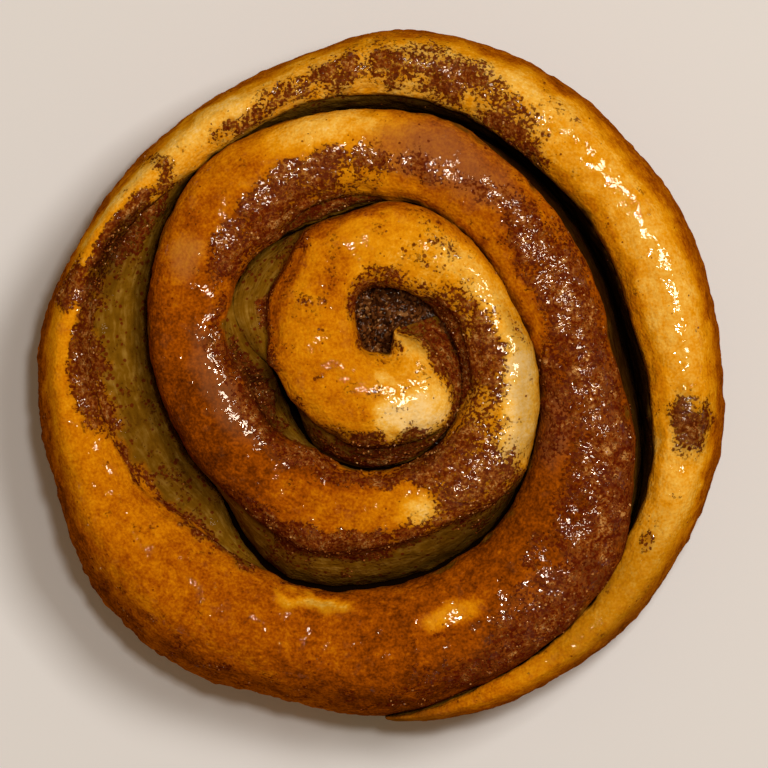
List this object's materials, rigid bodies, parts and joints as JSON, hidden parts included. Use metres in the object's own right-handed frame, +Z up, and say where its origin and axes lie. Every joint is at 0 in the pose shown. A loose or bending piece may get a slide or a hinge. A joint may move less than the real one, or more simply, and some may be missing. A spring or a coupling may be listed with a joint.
{
  "type": "cinnamon roll",
  "caption": "Round glazed cinnamon roll: a strip of baked dough wound in a spiral round a cinnamon filling, with deep uneven cracks between its turns and a flat base.",
  "frame": {"origin": "middle of the roll's outline seen from above, on the flat face that it rests on", "axes": "+Z up through the spiral's top; the strip winds clockwise outwards as seen from above, and its outer end lies towards -Y"},
  "size_m": [0.1094, 0.1106, 0.043],
  "materials": {
    "baked_dough": "baked golden brown, with a thin shiny syrup glaze",
    "cinnamon_paste": "dark brown, grainy and moist"
  },
  "bodies": {
    "root": {"dough": "baked_dough", "cinnamon_filling": "cinnamon_paste"}
  },
  "joints": []
}
